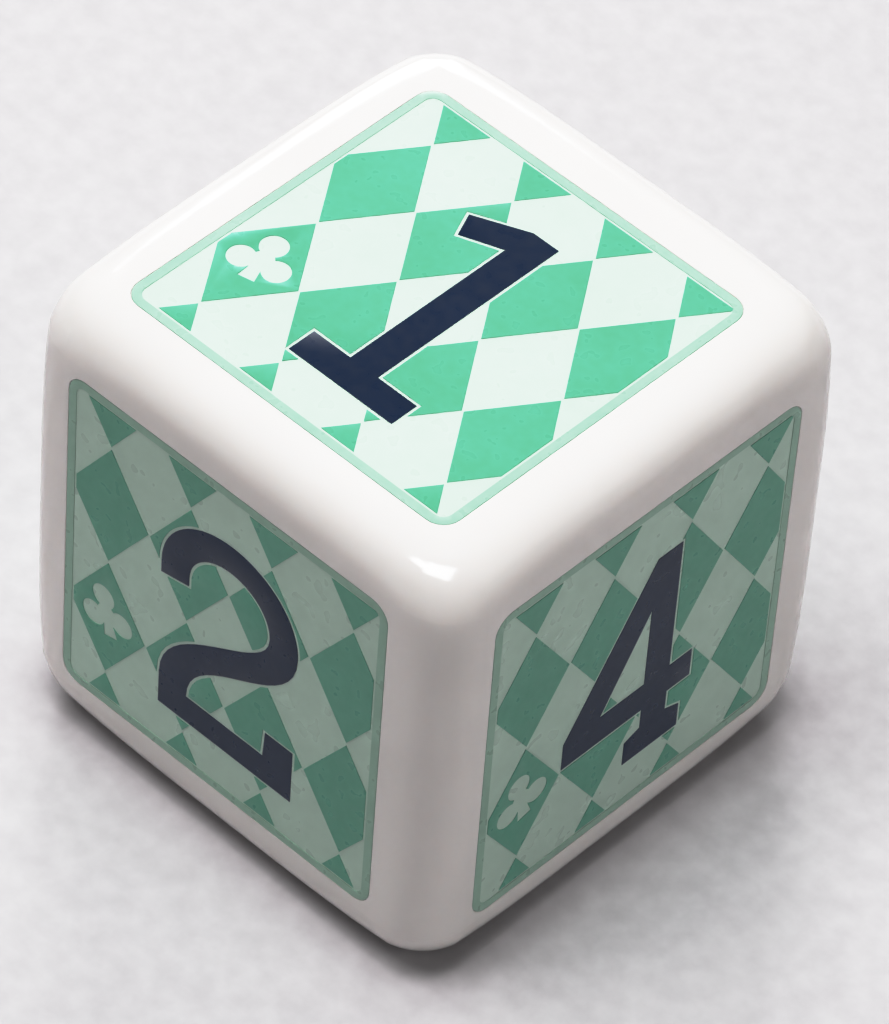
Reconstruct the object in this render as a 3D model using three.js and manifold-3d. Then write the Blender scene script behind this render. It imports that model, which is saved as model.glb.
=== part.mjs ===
// A six-sided gaming die: one moulded white plastic body with rounded edges, and on each face
// a printed panel made of a pale ground coat, a thin border line, a green lozenge pattern with
// a club pip knocked out of one lozenge, and a dark slab-serif numeral from 1 to 6.
//
// Millimetres, +Z up. The origin is the centre of the face that the die lies on. Face 1 is on
// top, face 2 looks along -Y and face 4 looks along +X. Opposite faces add up to seven.

import * as THREE from "three";
import Module from "manifold-3d";
import { mergeVertices } from "three/addons/utils/BufferGeometryUtils.js";

const wasm = await Module();
wasm.setup();

// ---- Driving dimensions -----------------------------------------------------------------------

const EDGE = 16; // from face to opposite face
const HALF = EDGE / 2;

// The rounded band that runs along each edge, between two flat faces.
const BAND = 1.6; // its width on each face
const BAND_POWER = 2.6; // its section: 2 is a circular arc, a larger number is squarer
const BARREL = 0.14; // how much further the band is rounded off at the ends of an edge
const BAND_CELLS = 5; // steps from the flat to the middle of the band
const EDGE_CELLS = 4; // steps along an edge, between the corners

// Each print is a skin in a shallow tray in its face, so that the die still lies flat.
const INK = 0.05; // thickness of each printed layer
const AIR = 0.01; // clearance under each printed layer and round the panel
const TRAY_DEPTH = 3 * (INK + AIR);

// The printed panel. The artwork is drawn in its own unit, PANEL, about half the panel's size.
const PANEL = 5.95;
const LINE = 0.048; // width of the border line
const LINE_HALF = 0.988; // half size of the square that its middle runs along
const LINE_CORNER = 0.08; // radius of its corners
const FIELD = 0.952; // half size of the square that the lozenges are cut off at

const PITCH = [0.515, 0.757]; // from lozenge to lozenge, across and up
const FIRST_LOZENGE = [-0.732, 0.342]; // centre of the upper left whole lozenge
const TIP_LAP = 0.006; // how far neighbouring tips run into each other
const CLUB_CENTRE = [-0.735, -0.385];
const CLUB_TILT = THREE.MathUtils.degToRad(13);

// The numerals.
const STROKE = 0.172;
const CAP = 0.64; // height of their tops above the panel's middle
const FOOT = -0.706; // height of their bottoms

// Curves are divided into twice this many steps: the panel's corners, and the club and numerals.
const CORNER_STEPS = 3;
const ART_STEPS = 18;

// Each face: which way its artwork's right side and top point, and how far its print sits off
// the middle of the face, to the right and up.
const FACES = [
  { name: "one", right: [1, 0, 0], up: [0, 1, 0], shift: [0.05, -0.3] },
  { name: "two", right: [1, 0, 0], up: [0, 0, 1], shift: [-0.19, -0.05] },
  { name: "three", right: [0, -1, 0], up: [0, 0, 1], shift: [0, 0] },
  { name: "four", right: [0, 1, 0], up: [0, 0, 1], shift: [-0.08, -0.21] },
  { name: "five", right: [-1, 0, 0], up: [0, 0, 1], shift: [0, 0] },
  { name: "six", right: [1, 0, 0], up: [0, -1, 0], shift: [0, 0] },
];

const FINISHES = {
  body: { color: 0xf7f4f0, roughness: 0.22, metalness: 0 },
  ground: { color: 0xdff1e7, roughness: 0.4, metalness: 0 },
  line: { color: 0xb4e6d0, roughness: 0.4, metalness: 0 },
  green: { color: 0x76dbb6, roughness: 0.4, metalness: 0 },
  navy: { color: 0x232f4b, roughness: 0.35, metalness: 0 },
};

// ---- Joining and cutting ----------------------------------------------------------------------

function toSolid(geometry) {
  const bare = geometry.clone();
  bare.deleteAttribute("normal");
  bare.deleteAttribute("uv");
  const merged = mergeVertices(bare, 1e-4);
  return new wasm.Manifold(
    new wasm.Mesh({
      numProp: 3,
      vertProperties: merged.attributes.position.array,
      triVerts: new Uint32Array(merged.index.array),
    }),
  );
}

function toGeometry(solid) {
  const mesh = solid.getMesh();
  const geometry = new THREE.BufferGeometry();
  geometry.setAttribute("position", new THREE.BufferAttribute(mesh.vertProperties, 3));
  geometry.setIndex(new THREE.BufferAttribute(mesh.triVerts, 1));
  const flat = geometry.toNonIndexed();
  flat.computeVertexNormals();
  return flat;
}

const join = (solids) => solids.reduce((whole, solid) => whole.add(solid));

// ---- Flat outlines, drawn in the panel's own square -------------------------------------------

function polygon(points) {
  return new THREE.Shape(points.map(([x, y]) => new THREE.Vector2(x, y)));
}

function bar(left, bottom, right, top) {
  return polygon([
    [left, bottom],
    [right, bottom],
    [right, top],
    [left, top],
  ]);
}

function disc(x, y, radius) {
  return new THREE.Shape().absarc(x, y, radius, 0, 2 * Math.PI);
}

// A stroke bent round a centre, from one angle back to another, in degrees.
function bow(x, y, radius, from, to) {
  const [start, end] = [from, to].map(THREE.MathUtils.degToRad);
  const shape = new THREE.Shape();
  shape.absarc(x, y, radius + STROKE / 2, start, end, true);
  shape.absarc(x, y, radius - STROKE / 2, end, start, false);
  shape.closePath();
  return shape;
}

function ring(x, y, radius) {
  const shape = disc(x, y, radius + STROKE / 2);
  shape.holes.push(new THREE.Path().absarc(x, y, radius - STROKE / 2, 0, 2 * Math.PI, true));
  return shape;
}

function roundedSquare(half, corner, Outline = THREE.Shape) {
  const outline = new Outline();
  const inner = half - corner;
  outline.absarc(inner, inner, corner, 0, Math.PI / 2);
  outline.absarc(-inner, inner, corner, Math.PI / 2, Math.PI);
  outline.absarc(-inner, -inner, corner, Math.PI, 1.5 * Math.PI);
  outline.absarc(inner, -inner, corner, 1.5 * Math.PI, 2 * Math.PI);
  outline.closePath();
  return outline;
}

// A prism over an outline, at its real size. Height 0 is the plane of the die's face.
function prism(shape, bottom, top, steps = CORNER_STEPS) {
  const geometry = new THREE.ExtrudeGeometry(shape, {
    depth: top - bottom,
    bevelEnabled: false,
    curveSegments: steps,
  });
  return geometry.scale(PANEL, PANEL, 1).translate(0, 0, bottom);
}

// The bottom and top of the first, second and third printed layer.
function layer(number) {
  const top = (number - 3) * (INK + AIR);
  return [top - INK, top];
}

// ---- The numerals -----------------------------------------------------------------------------

// Height of the middle of the strokes that run along the tops and the bottoms.
const CAP_LINE = CAP - STROKE / 2;
const FOOT_LINE = FOOT + STROKE / 2;

function numeralOne() {
  const [stemLeft, stemRight] = [-0.022, -0.022 + STROKE];
  const flag = polygon([
    [stemRight, CAP],
    [-0.008, CAP],
    [-0.296, 0.512],
    [-0.24, 0.38],
    [stemLeft, 0.466],
    [stemRight, 0.4],
  ]);
  const stem = bar(stemLeft, FOOT, stemRight, 0.5);
  return [flag, stem, bar(-0.25, FOOT, 0.394, FOOT + 0.162)];
}

// Its bowl is a little wider than high, and drops into the foot by one S-shaped stroke.
function numeralTwo() {
  const [x, y] = [0.049, 0.26];
  const [outerWide, outerTall] = [0.438, CAP + 0.03 - y];
  const [innerWide, innerTall] = [outerWide - 0.178, outerTall - 0.169];
  const left = -0.381;
  const shape = new THREE.Shape();
  shape.moveTo(left, FOOT);
  shape.lineTo(left, -0.5);
  shape.bezierCurveTo(left, -0.083, x + innerWide, -0.01, x + innerWide, y);
  shape.absellipse(x, y, innerWide, innerTall, 0, Math.PI, false);
  shape.lineTo(x - innerWide, y - 0.05);
  shape.lineTo(x - outerWide, y - 0.087);
  shape.lineTo(x - outerWide, y);
  shape.absellipse(x, y, outerWide, outerTall, Math.PI, 0, true);
  shape.bezierCurveTo(x + outerWide, -0.165, -0.203, -0.137, -0.203, FOOT + 0.167);
  shape.lineTo(0.3, FOOT + 0.167);
  shape.lineTo(0.31, -0.374);
  shape.lineTo(x + outerWide, -0.374);
  shape.lineTo(x + outerWide, FOOT);
  shape.closePath();
  return [shape];
}

function numeralThree() {
  const [x, waist] = [0.03, 0.03];
  const upper = (CAP_LINE - waist) / 2;
  const lower = (waist - FOOT_LINE) / 2;
  const [upperY, lowerY] = [waist + upper, waist - lower];
  const half = STROKE / 2;
  return [
    bow(x, upperY, upper, 180, -90),
    bow(x, lowerY, lower, 90, -180),
    bar(x - 0.13, waist - half, x + 0.02, waist + half),
    bar(x - upper - half, upperY - 0.05, x - upper + half, upperY + 0.004),
    bar(x - lower - half, lowerY - 0.004, x - lower + half, lowerY + 0.05),
  ];
}

function numeralFour() {
  const [stemLeft, stemRight] = [0.077, 0.077 + STROKE];
  const [barBottom, barTop] = [-0.396, -0.222];
  const [footLeft, footRight, footTop] = [-0.024, 0.348, FOOT + 0.148];
  const blade = polygon([
    [stemRight, CAP - 0.02],
    [0.086, CAP - 0.02],
    [-0.467, -0.228],
    [-0.467, barBottom],
    [stemRight, barBottom],
  ]);
  blade.holes.push(
    new THREE.Path([
      new THREE.Vector2(stemLeft, 0.287),
      new THREE.Vector2(stemLeft, barTop),
      new THREE.Vector2(-0.226, barTop),
    ]),
  );
  const foot = polygon([
    [footLeft, FOOT],
    [footRight, FOOT],
    [footRight, footTop],
    [stemRight, footTop + 0.035],
    [stemLeft, footTop + 0.035],
    [footLeft, footTop],
  ]);
  const stem = bar(stemLeft, FOOT, stemRight, barBottom + 0.02);
  return [blade, stem, bar(stemRight - 0.02, barBottom, 0.404, barTop), foot];
}

// Its bowl starts where the outside of its curve meets the left side of the stem.
function numeralFive() {
  const [x, radius] = [0.04, 0.345];
  const y = FOOT_LINE + radius;
  const [outer, inner] = [radius + STROKE / 2, radius - STROKE / 2];
  const [left, right] = [-0.3, 0.4];
  const start = Math.acos((left - x) / outer);
  const end = Math.acos((left + STROKE - x) / outer);
  const shape = new THREE.Shape();
  shape.moveTo(left, CAP);
  shape.lineTo(left, y + outer * Math.sin(start));
  shape.absarc(x, y, inner, start, -Math.PI, true);
  shape.lineTo(x - inner, y + 0.05);
  shape.lineTo(x - outer, y + 0.05);
  shape.absarc(x, y, outer, -Math.PI, end, false);
  shape.lineTo(left + STROKE, CAP - STROKE);
  shape.lineTo(right, CAP - STROKE);
  shape.lineTo(right, CAP);
  shape.closePath();
  return [shape];
}

function numeralSix() {
  const radius = 0.345;
  const [x, y] = [0.05, FOOT_LINE + radius];
  const [sweep, sweepY] = [CAP_LINE - 0.1, 0.1];
  return [
    ring(x, y, radius),
    bow(x - radius + sweep, sweepY, sweep, 180, 63),
    bar(x - radius - STROKE / 2, y, x - radius + STROKE / 2, sweepY + 0.004),
  ];
}

const NUMERALS = {
  one: numeralOne,
  two: numeralTwo,
  three: numeralThree,
  four: numeralFour,
  five: numeralFive,
  six: numeralSix,
};

// ---- The printed layers of one face -----------------------------------------------------------

const PANEL_EDGE = LINE_HALF + LINE / 2;

function panelOutline(half, Outline) {
  return roundedSquare(half, LINE_CORNER + half - LINE_HALF, Outline);
}

function groundCoat() {
  return prism(panelOutline(PANEL_EDGE), ...layer(1));
}

function borderLine() {
  const shape = panelOutline(PANEL_EDGE);
  shape.holes.push(panelOutline(LINE_HALF - LINE / 2, THREE.Path));
  return prism(shape, ...layer(2));
}

// The club: three discs round a triangle, and a flared stalk, drawn upright round its own middle.
function clubSolid() {
  const lobes = [
    [0, 0.096],
    [-0.094, -0.038],
    [0.094, -0.038],
  ];
  const stalk = [
    [-0.045, -0.15],
    [0.045, -0.15],
    [0.02, 0],
    [-0.02, 0],
  ];
  const shapes = [...lobes.map(([x, y]) => disc(x, y, 0.072)), polygon(lobes), polygon(stalk)];
  const [bottom, top] = layer(2);
  return join(
    shapes.map((shape) => {
      const geometry = prism(shape, bottom - INK, top + INK, ART_STEPS).rotateZ(CLUB_TILT);
      return toSolid(geometry.translate(CLUB_CENTRE[0] * PANEL, CLUB_CENTRE[1] * PANEL, 0));
    }),
  );
}

// The lozenges, tip to tip in one sheet, cut off square at the edge of the field.
function lozengePrint() {
  const [bottom, top] = layer(2);
  const [wide, tall] = [PITCH[0] / 2 + TIP_LAP, PITCH[1] / 2 + TIP_LAP];
  const lozenges = [];
  for (let column = 0; column < 4; column += 1) {
    for (let row = -1; row < 3; row += 1) {
      const x = FIRST_LOZENGE[0] + column * PITCH[0];
      const y = FIRST_LOZENGE[1] - row * PITCH[1];
      const lozenge = polygon([
        [x + wide, y],
        [x, y + tall],
        [x - wide, y],
        [x, y - tall],
      ]);
      lozenges.push(toSolid(prism(lozenge, bottom, top)));
    }
  }
  const field = toSolid(prism(bar(-FIELD, -FIELD, FIELD, FIELD), bottom - INK, top + INK));
  return toGeometry(join(lozenges).intersect(field).subtract(clubSolid()));
}

function numeral(name) {
  const strokes = NUMERALS[name]().map((shape) => prism(shape, ...layer(3), ART_STEPS));
  return toGeometry(join(strokes.map(toSolid)));
}

// ---- The body ---------------------------------------------------------------------------------

// Where the body's grid lines cross a face, before the edges are rounded.
function stations() {
  const flat = HALF - BAND;
  const half = [];
  for (let step = 1; step <= BAND_CELLS; step += 1) {
    half.push(flat + BAND * Math.tan((Math.PI / 4) * (step / BAND_CELLS)));
  }
  const middle = [];
  for (let step = 0; step <= EDGE_CELLS; step += 1) {
    middle.push(flat * ((2 * step) / EDGE_CELLS - 1));
  }
  return [...half.map((x) => -x).reverse(), ...middle, ...half];
}

// Moves a point on the plain cube's surface in to the rounded surface.
function roundOff(point) {
  const flat = HALF - BAND;
  const core = point.map((x) => Math.max(-flat, Math.min(flat, x)));
  const out = point.map((x, axis) => (x - core[axis]) / BAND);
  const size = out.reduce((sum, x) => sum + Math.abs(x) ** BAND_POWER, 0) ** (1 / BAND_POWER);
  const unit = out.map((x) => x / size);
  const along = core.map((x) => (x / flat) ** 4);
  const [x, y, z] = unit.map(Math.abs);
  const pull = 1 - BARREL * (x * y * along[2] + y * z * along[0] + z * x * along[1]);
  return core.map((base, axis) => base + BAND * pull * unit[axis]);
}

function roundedCube() {
  const grid = stations();
  const positions = [];
  for (const { right, up } of FACES) {
    const out = new THREE.Vector3(...right).cross(new THREE.Vector3(...up)).toArray();
    const corner = (a, b) =>
      roundOff([0, 1, 2].map((axis) => right[axis] * a + up[axis] * b + out[axis] * HALF));
    for (let i = 0; i < grid.length - 1; i += 1) {
      for (let j = 0; j < grid.length - 1; j += 1) {
        const [a, b, c, d] = [
          corner(grid[i], grid[j]),
          corner(grid[i + 1], grid[j]),
          corner(grid[i + 1], grid[j + 1]),
          corner(grid[i], grid[j + 1]),
        ];
        positions.push(...a, ...b, ...c, ...a, ...c, ...d);
      }
    }
  }
  const geometry = new THREE.BufferGeometry();
  geometry.setAttribute("position", new THREE.Float32BufferAttribute(positions, 3));
  return geometry.translate(0, 0, HALF);
}

// The place of a face: its artwork's right, up and outward directions, and its shifted centre.
function facePlace({ right, up, shift }) {
  const x = new THREE.Vector3(...right);
  const y = new THREE.Vector3(...up);
  const z = x.clone().cross(y);
  const centre = new THREE.Vector3(0, 0, HALF)
    .addScaledVector(z, HALF)
    .addScaledVector(x, shift[0])
    .addScaledVector(y, shift[1]);
  return new THREE.Matrix4().makeBasis(x, y, z).setPosition(centre);
}

function dieBody() {
  const outline = panelOutline(PANEL_EDGE + AIR / PANEL);
  const trays = FACES.map((face) =>
    toSolid(prism(outline, -TRAY_DEPTH, BAND).applyMatrix4(facePlace(face))),
  );
  return toGeometry(toSolid(roundedCube()).subtract(join(trays)));
}

// ---- The assembly -----------------------------------------------------------------------------

function named(name, geometry, finish) {
  const mesh = new THREE.Mesh(geometry, new THREE.MeshStandardMaterial(FINISHES[finish]));
  mesh.name = name;
  return mesh;
}

const die = new THREE.Group();
die.add(named("die_body", dieBody(), "body"));

for (const face of FACES) {
  const print = new THREE.Group();
  print.applyMatrix4(facePlace(face));
  print.add(
    named(`ground_coat_${face.name}`, groundCoat(), "ground"),
    named(`border_line_${face.name}`, borderLine(), "line"),
    named(`lozenge_print_${face.name}`, lozengePrint(), "green"),
    named(`numeral_${face.name}`, numeral(face.name), "navy"),
  );
  die.add(print);
}

export default die;
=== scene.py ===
"""Looks for the printed six-sided die: fine meshes, procedural materials, camera, light and floor.

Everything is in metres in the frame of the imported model: +Z out of face one, -Y out of face two
and +X out of face four, with the die lying on z = 0.
"""

import math

import bmesh
import bpy
from mathutils import Matrix, Quaternion, Vector


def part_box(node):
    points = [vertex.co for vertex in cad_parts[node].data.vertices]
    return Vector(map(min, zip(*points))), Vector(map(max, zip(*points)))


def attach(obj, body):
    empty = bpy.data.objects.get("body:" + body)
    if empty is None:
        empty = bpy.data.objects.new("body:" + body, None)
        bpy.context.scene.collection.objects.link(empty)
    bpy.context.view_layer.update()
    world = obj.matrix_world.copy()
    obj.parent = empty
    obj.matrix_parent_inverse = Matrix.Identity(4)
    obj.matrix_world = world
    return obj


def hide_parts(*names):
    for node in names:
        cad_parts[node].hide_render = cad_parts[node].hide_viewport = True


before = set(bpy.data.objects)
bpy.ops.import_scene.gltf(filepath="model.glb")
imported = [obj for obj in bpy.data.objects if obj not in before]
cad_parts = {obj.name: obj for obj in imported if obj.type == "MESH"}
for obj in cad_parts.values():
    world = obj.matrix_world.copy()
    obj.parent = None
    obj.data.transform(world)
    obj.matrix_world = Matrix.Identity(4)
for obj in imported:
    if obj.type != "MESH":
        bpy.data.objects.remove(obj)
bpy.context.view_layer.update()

MM = 0.001

# ---- Sizes taken from the frame ----------------------------------------------------------------

LOW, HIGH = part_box("die_body")
CENTRE = (LOW + HIGH) / 2
HALF = (HIGH.z - LOW.z) / 2

# The rounded band along each edge, by the same formula as the CAD body but with finer steps.
BAND = 0.2 * HALF
FLAT = HALF - BAND
BAND_POWER = 2.6
BARREL = 0.14
BAND_STEPS = 18  # from the flat to the middle of the band
EDGE_STEPS = 24  # along the straight part of an edge

# Heights measured from the plane of a face, all so little under it that the inks look flush.
TRAY_FLOOR = -0.045 * MM
GROUND_TOP = -0.022 * MM
INK_TOP = -0.006 * MM
SOFT_RIM = 0.006 * MM  # radius of the upper edge of a printed layer
TRAY_GAP = 0.012 * MM  # between the ground coat and the lip of its tray
TRAY_LIP = 0.02 * MM  # radius of that lip
RIM_STEPS = 3

# The artwork: its unit, the lozenges' pitch across and up, and the upper left whole lozenge.
PANEL = 5.95 * MM
PITCH = Vector((0.515, 0.757)) * PANEL
FIRST_LOZENGE = Vector((-0.732, 0.342)) * PANEL
KEYLINE = 0.095 * MM  # width of the pale line round a numeral, where the green is left out
LOZENGE_GAP = 0.062 * MM  # width of the pale line between neighbouring lozenges, at their tips

# Right and up on the artwork of each face. Its outward direction is right x up.
FACES = {
    "one": ((1, 0, 0), (0, 1, 0)),
    "two": ((1, 0, 0), (0, 0, 1)),
    "three": ((0, -1, 0), (0, 0, 1)),
    "four": ((0, 1, 0), (0, 0, 1)),
    "five": ((-1, 0, 0), (0, 0, 1)),
    "six": ((1, 0, 0), (0, -1, 0)),
}

# Tolerances for outlines and meshes.
WELD = 0.004 * MM  # points of a plate nearer than this are one point
SEAM_WELD = 0.0005 * MM  # the same for the points where two sides of the body meet
LEVEL = 0.002 * MM  # a face whose corners are this near the top is on the top side
STRAIGHT = 1e-3  # a smaller bend than this, in radians, is no corner
MITRE_LIMIT = 0.35  # stops a sharp corner from running far out when its outline is spread
SHARP_ANGLE = math.radians(50)  # edges that bend further than this aren't shaded smooth

# ---- Camera ------------------------------------------------------------------------------------

VIEW_AZIMUTH = math.radians(40.737)
VIEW_ELEVATION = math.radians(46.513)
VIEW_ROLL = math.radians(4.48)
VIEW_DISTANCE = 24.768 * HALF
VIEW_AIM = CENTRE + HALF * Vector((0.0632, 0.0151, -0.0283))
LENS = 250.66


def toward(azimuth, elevation):
    """The unit direction from the die to something seen at that azimuth and elevation."""
    level = math.cos(elevation)
    return Vector((math.sin(azimuth) * level, -math.cos(azimuth) * level, math.sin(elevation)))


def facing_back(back):
    """The turn of a camera or a lamp that stands in the direction back and looks at the die."""
    return (-back).to_track_quat("-Z", "Y")


def add_camera():
    back = toward(VIEW_AZIMUTH, VIEW_ELEVATION)
    camera = bpy.data.objects.new("camera", bpy.data.cameras.new("camera"))
    camera.location = VIEW_AIM + back * VIEW_DISTANCE
    camera.rotation_mode = "QUATERNION"
    camera.rotation_quaternion = facing_back(back) @ Quaternion((0, 0, 1), VIEW_ROLL)
    camera.data.lens = LENS
    camera.data.clip_start = 0.01
    camera.data.clip_end = 10
    bpy.context.scene.collection.objects.link(camera)
    bpy.context.scene.camera = camera


# ---- Outlines ----------------------------------------------------------------------------------
# An outline is a list of closed loops of flat points, with the material on the left of each loop.


def face_place(name):
    """The place of a face: x and y along its artwork, z outward, origin at the face's middle."""
    right, up = (Vector(v) for v in FACES[name])
    out = right.cross(up)
    place = Matrix((right, up, out)).transposed().to_4x4()
    place.translation = CENTRE + out * HALF
    return place


def pairs(ring):
    """Each item of a closed ring with the one after it."""
    return zip(ring, [*ring[1:], ring[0]])


def corners(loop):
    """Each point of a loop between its two neighbours."""
    return zip([loop[-1], *loop[:-1]], loop, [*loop[1:], loop[0]])


def outline_of(mesh, place):
    """The outline of a plate's outward side."""
    plate = bmesh.new()
    plate.from_mesh(mesh)
    plate.transform(place.inverted())
    bmesh.ops.remove_doubles(plate, verts=plate.verts, dist=WELD)
    top = max(vert.co.z for vert in plate.verts)
    # A list keeps the mesh's own order, so that each run starts the loops at the same points.
    upper = [face for face in plate.faces if all(top - vert.co.z < LEVEL for vert in face.verts)]
    members = set(upper)
    following = {}
    for face in upper:
        for corner in face.loops:
            if sum(other in members for other in corner.edge.link_faces) == 1:
                following[corner.vert] = corner.link_loop_next.vert
    loops = []
    while following:
        first, vert = following.popitem()
        loop = [first.co.xy]
        while vert is not first:
            loop.append(vert.co.xy)
            vert = following.pop(vert)
        loops.append(without_straights(loop))
    plate.free()
    return loops


def without_straights(loop):
    """The loop without the points that lie on a straight line between their neighbours."""
    kept = []
    for before, point, after in corners(loop):
        bend = (point - before).normalized().cross((after - point).normalized())
        if abs(bend) > STRAIGHT:
            kept.append(point.copy())
    return kept


def spread(loop, distance):
    """The loop moved away from the material by a distance, or into it by a negative one."""
    moved = []
    for before, point, after in corners(loop):
        sides = []
        for step in ((point - before).normalized(), (after - point).normalized()):
            sides.append(Vector((step.y, -step.x)))
        middle = (sides[0] + sides[1]).normalized()
        reach = max(MITRE_LIMIT, middle.dot(sides[0]))
        moved.append(point + middle * (distance / reach))
    return moved


# ---- Meshes ------------------------------------------------------------------------------------


def add_ring(mesh, loop, height):
    return [mesh.verts.new((point.x, point.y, height)) for point in loop]


def bridge(mesh, lower, upper):
    """The band of quads between two rings, facing away from the material."""
    for (a, b), (d, c) in zip(pairs(lower), pairs(upper)):
        mesh.faces.new((a, b, c, d))


def fill(mesh, rings, facing):
    """The flat face between rings in one plane, facing up for 1 or down for -1."""
    edges = []
    for ring in rings:
        for ends in pairs(ring):
            edges.append(mesh.edges.get(ends) or mesh.edges.new(ends))
    made = bmesh.ops.triangle_fill(mesh, edges=edges, use_dissolve=False, use_beauty=True)
    faces = [item for item in made["geom"] if isinstance(item, bmesh.types.BMFace)]
    for face in faces:
        face.normal_update()
        if face.normal.z * facing < 0:
            face.normal_flip()


def plate_mesh(loops, bottom, top, rim=0.0):
    """A closed plate over an outline, whose upper edge is rounded off by rim."""
    mesh = bmesh.new()
    lower, upper = [], []
    for loop in loops:
        ring = add_ring(mesh, loop, bottom)
        lower.append(ring)
        for step in range(RIM_STEPS + 1 if rim else 1):
            turn = math.pi / 2 * step / RIM_STEPS
            inset = rim * (1 - math.cos(turn))
            height = top - rim + rim * math.sin(turn)
            following = add_ring(mesh, spread(loop, -inset), height)
            bridge(mesh, ring, following)
            ring = following
        upper.append(ring)
    fill(mesh, lower, -1)
    fill(mesh, upper, 1)
    return mesh


def cut(loops, cutter_loops):
    """The outline that is left of one outline where another is taken out of it."""
    thickness = 0.2 * MM
    objects = []
    for outline, depth in ((loops, thickness), (cutter_loops, 3 * thickness)):
        data = bpy.data.meshes.new("cut")
        solid = plate_mesh(outline, -depth, depth)
        solid.to_mesh(data)
        solid.free()
        objects.append(bpy.data.objects.new("cut", data))
        bpy.context.scene.collection.objects.link(objects[-1])
    kept, cutter = objects
    boolean = kept.modifiers.new("cut", "BOOLEAN")
    boolean.operation = "DIFFERENCE"
    boolean.solver = "EXACT"
    boolean.object = cutter
    evaluated = kept.evaluated_get(bpy.context.evaluated_depsgraph_get())
    left = outline_of(evaluated.to_mesh(), Matrix.Identity(4))
    for item in objects:
        bpy.data.objects.remove(item)
    return left


def lozenge_gaps(middle, rise):
    """Narrow strips along the edges of the lozenges that run upward, or downward for rise -1."""
    along = Vector((PITCH.x, rise * PITCH.y)).normalized()
    across = Vector((-along.y, along.x)) * (LOZENGE_GAP / 2)
    reach = along * (3 * PANEL)
    strips = []
    # The strips are longer and more than needed, so that they cross the whole panel.
    for column in range(-3, 6):
        tip = middle + FIRST_LOZENGE + Vector(((column + 0.5) * PITCH.x, 0))
        start, end = tip - reach, tip + reach
        strips.append([start - across, end - across, end + across, start + across])
    return strips


def band_stations():
    """Where the body's grid lines cross a face, before its edges are rounded."""
    outer = []
    for step in range(1, BAND_STEPS + 1):
        outer.append(FLAT + BAND * math.tan(math.pi / 4 * step / BAND_STEPS))
    middle = [FLAT * (2 * step / EDGE_STEPS - 1) for step in range(EDGE_STEPS + 1)]
    return [-x for x in reversed(outer)] + middle + outer


def round_off(point):
    """Moves a point on the plain cube's surface in to the rounded surface."""
    core = [max(-FLAT, min(FLAT, x)) for x in point]
    out = [(x - base) / BAND for x, base in zip(point, core)]
    size = sum(abs(x) ** BAND_POWER for x in out) ** (1 / BAND_POWER)
    unit = [x / size for x in out]
    x, y, z = (abs(u) for u in unit)
    along = [(base / FLAT) ** 4 for base in core]
    pull = 1 - BARREL * (x * y * along[2] + y * z * along[0] + z * x * along[1])
    return Vector(base + BAND * pull * u for base, u in zip(core, unit))


def add_bands(side, turn):
    """The rounded bands round a face, as a grid without its flat middle. Returns its inner rim."""
    stations = band_stations()
    grid = []
    for a in stations:
        points = (turn.transposed() @ round_off(turn @ Vector((a, b, HALF))) for b in stations)
        grid.append([side.verts.new(point - Vector((0, 0, HALF))) for point in points])
    first, last = BAND_STEPS, BAND_STEPS + EDGE_STEPS
    for i in range(len(stations) - 1):
        for j in range(len(stations) - 1):
            if not (first <= i < last and first <= j < last):
                side.faces.new((grid[i][j], grid[i + 1][j], grid[i + 1][j + 1], grid[i][j + 1]))
    rim = [grid[i][first] for i in range(first, last)]
    rim += [grid[last][j] for j in range(first, last)]
    rim += [grid[i][last] for i in range(last, first, -1)]
    rim += [grid[first][j] for j in range(last, first, -1)]
    for column in grid:
        for vert in column:
            if not vert.link_faces:
                side.verts.remove(vert)
    return rim


def add_tray(side, rim, loop):
    """The flat of a face, from its rim in to the tray, and the tray for a print with that loop."""
    wall = spread(loop, TRAY_GAP)
    ring = add_ring(side, spread(wall, TRAY_LIP), 0)
    fill(side, [rim, ring], 1)
    for step in range(1, RIM_STEPS + 1):
        angle = math.pi / 2 * step / RIM_STEPS
        inset = TRAY_LIP * math.sin(angle)
        drop = TRAY_LIP * (1 - math.cos(angle))
        following = add_ring(side, spread(wall, TRAY_LIP - inset), -drop)
        bridge(side, following, ring)
        ring = following
    floor = add_ring(side, wall, TRAY_FLOOR)
    bridge(side, floor, ring)
    fill(side, [floor], 1)


# ---- Pieces ------------------------------------------------------------------------------------


def add_piece(name, mesh, material, replaced):
    data = bpy.data.meshes.new(name)
    mesh.to_mesh(data)
    mesh.free()
    data.shade_smooth()
    data.set_sharp_from_angle(angle=SHARP_ANGLE)
    data.materials.append(material)
    piece = bpy.data.objects.new(name, data)
    bpy.context.scene.collection.objects.link(piece)
    normals = piece.modifiers.new("normals", "WEIGHTED_NORMAL")
    normals.keep_sharp = True
    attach(piece, "root")
    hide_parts(replaced)


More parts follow.
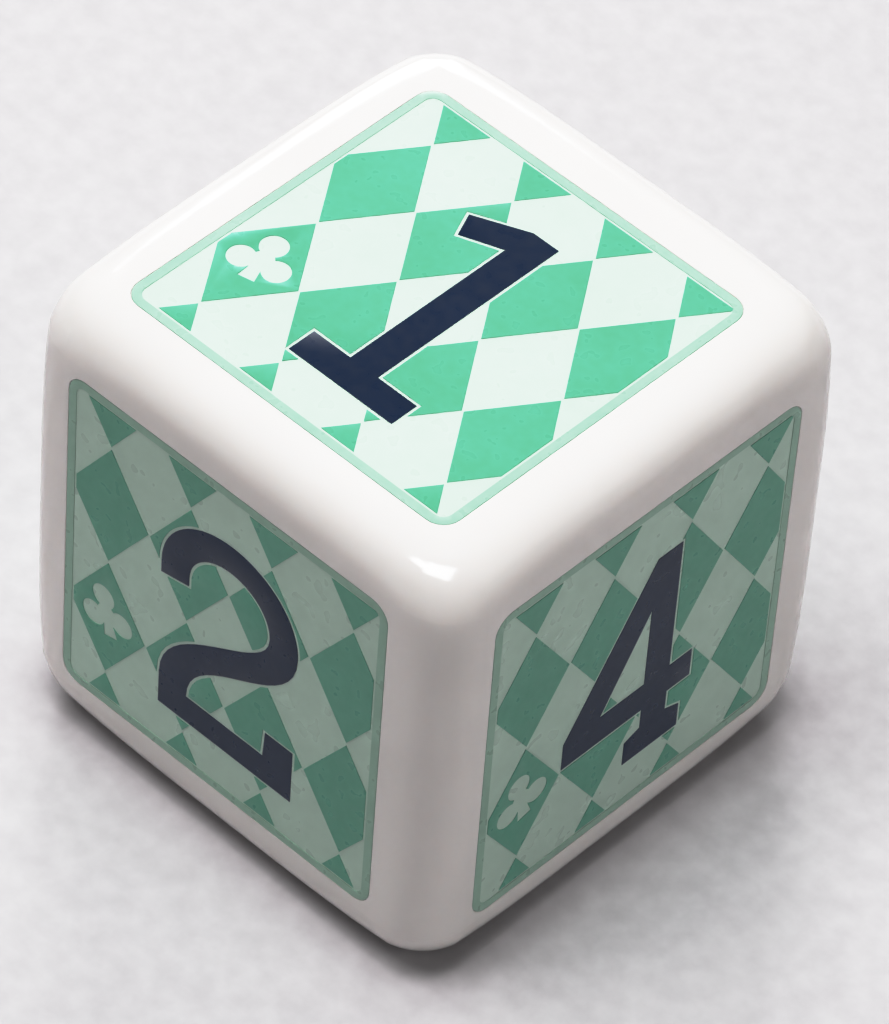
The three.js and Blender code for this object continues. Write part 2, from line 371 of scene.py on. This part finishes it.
def add_print(face, material):
    """The four printed layers of a face. Returns the loop round the lowest one."""
    place = face_place(face)

    def outline(layer):
        return outline_of(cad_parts[f"{layer}_{face}"].data, place)

    def add(layer, loops, bottom, top, slot):
        mesh = plate_mesh(loops, bottom, top, SOFT_RIM)
        mesh.transform(place)
        add_piece(f"{layer}_{face}_print", mesh, material[slot], f"{layer}_{face}")

    numeral = outline("numeral")
    ground = outline("ground_coat")
    keyline = [spread(loop, KEYLINE) for loop in numeral]
    middle = sum(ground[0], Vector((0, 0))) / len(ground[0])
    lozenges = outline("lozenge_print")
    for cutter in (lozenge_gaps(middle, 1), lozenge_gaps(middle, -1), keyline):
        lozenges = cut(lozenges, cutter)
    add("ground_coat", ground, TRAY_FLOOR, GROUND_TOP, "pale_ground_ink")
    add("border_line", outline("border_line"), GROUND_TOP, INK_TOP, "light_green_ink")
    add("lozenge_print", lozenges, GROUND_TOP, INK_TOP, "green_ink")
    add("numeral", numeral, GROUND_TOP, INK_TOP, "navy_ink")
    return ground[0]


def add_body(prints, material):
    """The moulding: the six sides, each with a tray for its print, welded together."""
    body = bmesh.new()
    for face, loop in prints.items():
        place = face_place(face)
        side = bmesh.new()
        rim = add_bands(side, place.to_3x3())
        add_tray(side, rim, loop)
        side.transform(place)
        data = bpy.data.meshes.new("side")
        side.to_mesh(data)
        side.free()
        body.from_mesh(data)
        bpy.data.meshes.remove(data)
    bmesh.ops.remove_doubles(body, verts=body.verts, dist=SEAM_WELD)
    add_piece("die_body_moulding", body, material["body_plastic"], "die_body")


# ---- Materials ---------------------------------------------------------------------------------

FINE, COARSE = 0.4 * MM, 0.6 * MM

# Of each ink: its colour where it lies thin and where it lies thick, and the size of its speckle.
INKS = {
    "pale_ground_ink": ((0.60, 0.725, 0.65), (0.555, 0.68, 0.605), COARSE),
    "light_green_ink": ((0.43, 0.60, 0.51), (0.375, 0.55, 0.46), FINE),
    "green_ink": ((0.19, 0.495, 0.38), (0.155, 0.44, 0.32), FINE),
    "navy_ink": ((0.012, 0.034, 0.09), (0.006, 0.024, 0.07), FINE),
}

# The two colours that the plastic and the table top drift between, and the ranges of roughness.
INK_ROUGHNESS = (0.25, 0.35)
PLASTIC = ((0.81, 0.785, 0.765), (0.85, 0.825, 0.805))
PLASTIC_ROUGHNESS = (0.10, 0.18)
TABLE = ((0.55, 0.535, 0.55), (0.61, 0.595, 0.61))


class Finish:
    """A material and the few kinds of node that the finishes here are made of."""

    def __init__(self, name):
        self.material = bpy.data.materials.new(name)
        self.material.use_nodes = True
        self.tree = self.material.node_tree
        self.shader = self.tree.nodes["Principled BSDF"]
        self.place = self.tree.nodes.new("ShaderNodeTexCoord").outputs["Object"]

    def node(self, kind, inputs, **settings):
        made = self.tree.nodes.new(kind)
        for key, value in settings.items():
            setattr(made, key, value)
        for key, value in inputs.items():
            self.feed(made.inputs[key], value)
        return made

    def feed(self, socket, value):
        if isinstance(value, bpy.types.NodeSocket):
            self.tree.links.new(value, socket)
        else:
            socket.default_value = value

    def noise(self, size, detail=1.0, roughness=0.5):
        """Noise from 0 to 1 whose blotches are about size across."""
        inputs = {"Vector": self.place, "Scale": 1 / size, "Detail": detail, "Roughness": roughness}
        return self.node("ShaderNodeTexNoise", inputs).outputs["Fac"]

    def stretch(self, value, start, end, low=0.0, high=1.0):
        """The value stretched from the range start-end to the range low-high, and held there."""
        inputs = {"Value": value, "From Min": start, "From Max": end, "To Min": low, "To Max": high}
        return self.node("ShaderNodeMapRange", inputs).outputs["Result"]

    def blend(self, share, first, second):
        """The mix of two colours. Numbers 6 and 7 are the node's two colour inputs."""
        inputs = {"Factor": share, 6: (*first, 1), 7: (*second, 1)}
        return self.node("ShaderNodeMix", inputs, data_type="RGBA").outputs[2]

    def add(self, first, second):
        return self.node("ShaderNodeMath", {0: first, 1: second}, operation="ADD").outputs[0]

    def bump(self, height, depth):
        inputs = {"Height": height, "Distance": depth, "Strength": 1.0}
        return self.node("ShaderNodeBump", inputs)

    def set(self, **inputs):
        for key, value in inputs.items():
            self.feed(self.shader.inputs[key.replace("_", " ")], value)
        return self.material


def body_plastic():
    """Polished moulded plastic with a faint orange peel, dulled unevenly by handling."""
    finish = Finish("body_plastic")
    tone = finish.stretch(finish.noise(5 * MM, detail=2.0), 0.3, 0.7)
    peel = finish.bump(finish.noise(0.7 * MM), 0.004 * MM)
    grain = finish.bump(finish.noise(0.3 * MM), 0.0008 * MM)
    finish.feed(grain.inputs["Normal"], peel.outputs["Normal"])
    handling = finish.noise(1.6 * MM, detail=5.0, roughness=0.6)
    return finish.set(
        Base_Color=finish.blend(tone, *PLASTIC),
        Roughness=finish.stretch(handling, 0.3, 0.7, *PLASTIC_ROUGHNESS),
        Normal=grain.outputs["Normal"],
        IOR=1.56,
        Subsurface_Weight=0.12,
        Subsurface_Radius=(1.0, 0.8, 0.7),
        Subsurface_Scale=0.6 * MM,
    )


def ink(name, thin, thick, mottle):
    """Printed ink: its density drifts over millimetres and is speckled finely."""
    finish = Finish(name)
    drift = finish.noise(2.2 * MM, detail=3.0)
    speckle = finish.noise(mottle)
    share = finish.stretch(finish.add(drift, speckle), 0.55, 1.45)
    bump = finish.bump(finish.noise(0.9 * MM), 0.0003 * MM)
    return finish.set(
        Base_Color=finish.blend(share, thin, thick),
        Roughness=finish.stretch(speckle, 0.2, 0.8, *INK_ROUGHNESS),
        Normal=bump.outputs["Normal"],
        IOR=1.48,
    )


def floor_finish():
    finish = Finish("floor")
    tone = finish.stretch(finish.noise(0.8 * MM, detail=4.0), 0.3, 0.7)
    return finish.set(Base_Color=finish.blend(tone, *TABLE), Roughness=0.6)


# ---- Light and floor ---------------------------------------------------------------------------

# Of each light: its azimuth and elevation in degrees, its distance, its width and height, and its
# power. The soft lights give no reflections, and the reflectors give nothing else: they make the
# one bright patch on the near corner.
SOFT_LIGHTS = {
    "ceiling_softbox": (221, 89, 0.35, (0.15, 0.15), 0.375),
    "ceiling_lamp": (0, 90, 0.35, (0.04, 0.04), 0.19),
    "left_softbox": (315, 69, 0.35, (0.15, 0.15), 0.345),
    "left_fill": (325, 25, 0.12, (0.05, 0.05), 0.003),
    "right_fill": (112, 20, 0.35, (0.14, 0.14), 0.145),
    "front_fill": (41, 8, 0.35, (0.14, 0.14), 0.03),
}
PLAIN_LIGHTS = {
    "back_fill": (225, 20, 0.35, (0.14, 0.14), 0.40),
}
REFLECTORS = {
    "front_reflector": (23, 57, 0.3, (0.2, 0.12), 0.62),
    "side_reflector": (344, 54, 0.3, (0.06, 0.06), 0.1),
}
ROOM_COLOUR = (1.0, 0.97, 0.95, 1)
ROOM_STRENGTH = 0.053

FLOOR_HALF = 1.5
FLOOR_DROP = 0.002 * MM  # keeps the floor clear of the die's lowest face


def add_light(name, azimuth, elevation, distance, size, power):
    """A rectangular soft box aimed at the die."""
    data = bpy.data.lights.new(name, "AREA")
    data.shape = "RECTANGLE"
    data.size, data.size_y = size
    data.energy = power
    lamp = bpy.data.objects.new(name, data)
    back = toward(math.radians(azimuth), math.radians(elevation))
    lamp.location = CENTRE + back * distance
    lamp.rotation_mode = "QUATERNION"
    lamp.rotation_quaternion = facing_back(back)
    bpy.context.scene.collection.objects.link(lamp)
    return lamp


def add_studio():
    world = bpy.data.worlds.new("studio")
    world.use_nodes = True
    room = world.node_tree.nodes["Background"]
    room.inputs["Color"].default_value = ROOM_COLOUR
    room.inputs["Strength"].default_value = ROOM_STRENGTH
    bpy.context.scene.world = world
    for name, settings in SOFT_LIGHTS.items():
        add_light(name, *settings).visible_glossy = False
    for name, settings in PLAIN_LIGHTS.items():
        add_light(name, *settings)
    for name, settings in REFLECTORS.items():
        add_light(name, *settings).visible_diffuse = False


def add_floor():
    mesh = bmesh.new()
    bmesh.ops.create_grid(mesh, x_segments=1, y_segments=1, size=FLOOR_HALF)
    data = bpy.data.meshes.new("floor")
    mesh.to_mesh(data)
    mesh.free()
    data.materials.append(floor_finish())
    floor = bpy.data.objects.new("floor", data)
    floor.location.z = LOW.z - FLOOR_DROP
    bpy.context.scene.collection.objects.link(floor)


# ---- The scene ---------------------------------------------------------------------------------

# The contrast curve of a pocket camera: how bright each amount of light is shown.
TONE = (
    (0.14, 0.11),
    (0.22, 0.195),
    (0.29, 0.31),
    (0.43, 0.636),
    (0.54, 0.815),
    (0.65, 0.91),
)


def set_tone(settings):
    """A plain display transform after the contrast curve, which all three colours share."""
    settings.view_transform = "Standard"
    settings.use_curve_mapping = True
    combined = settings.curve_mapping.curves[3]
    for light, shown in TONE:
        combined.points.new(light, shown)
    settings.curve_mapping.update()


set_tone(bpy.context.scene.view_settings)
add_camera()
material = {"body_plastic": body_plastic()}
for name, settings in INKS.items():
    material[name] = ink(name, *settings)
prints = {face: add_print(face, material) for face in FACES}
add_body(prints, material)
add_studio()
add_floor()
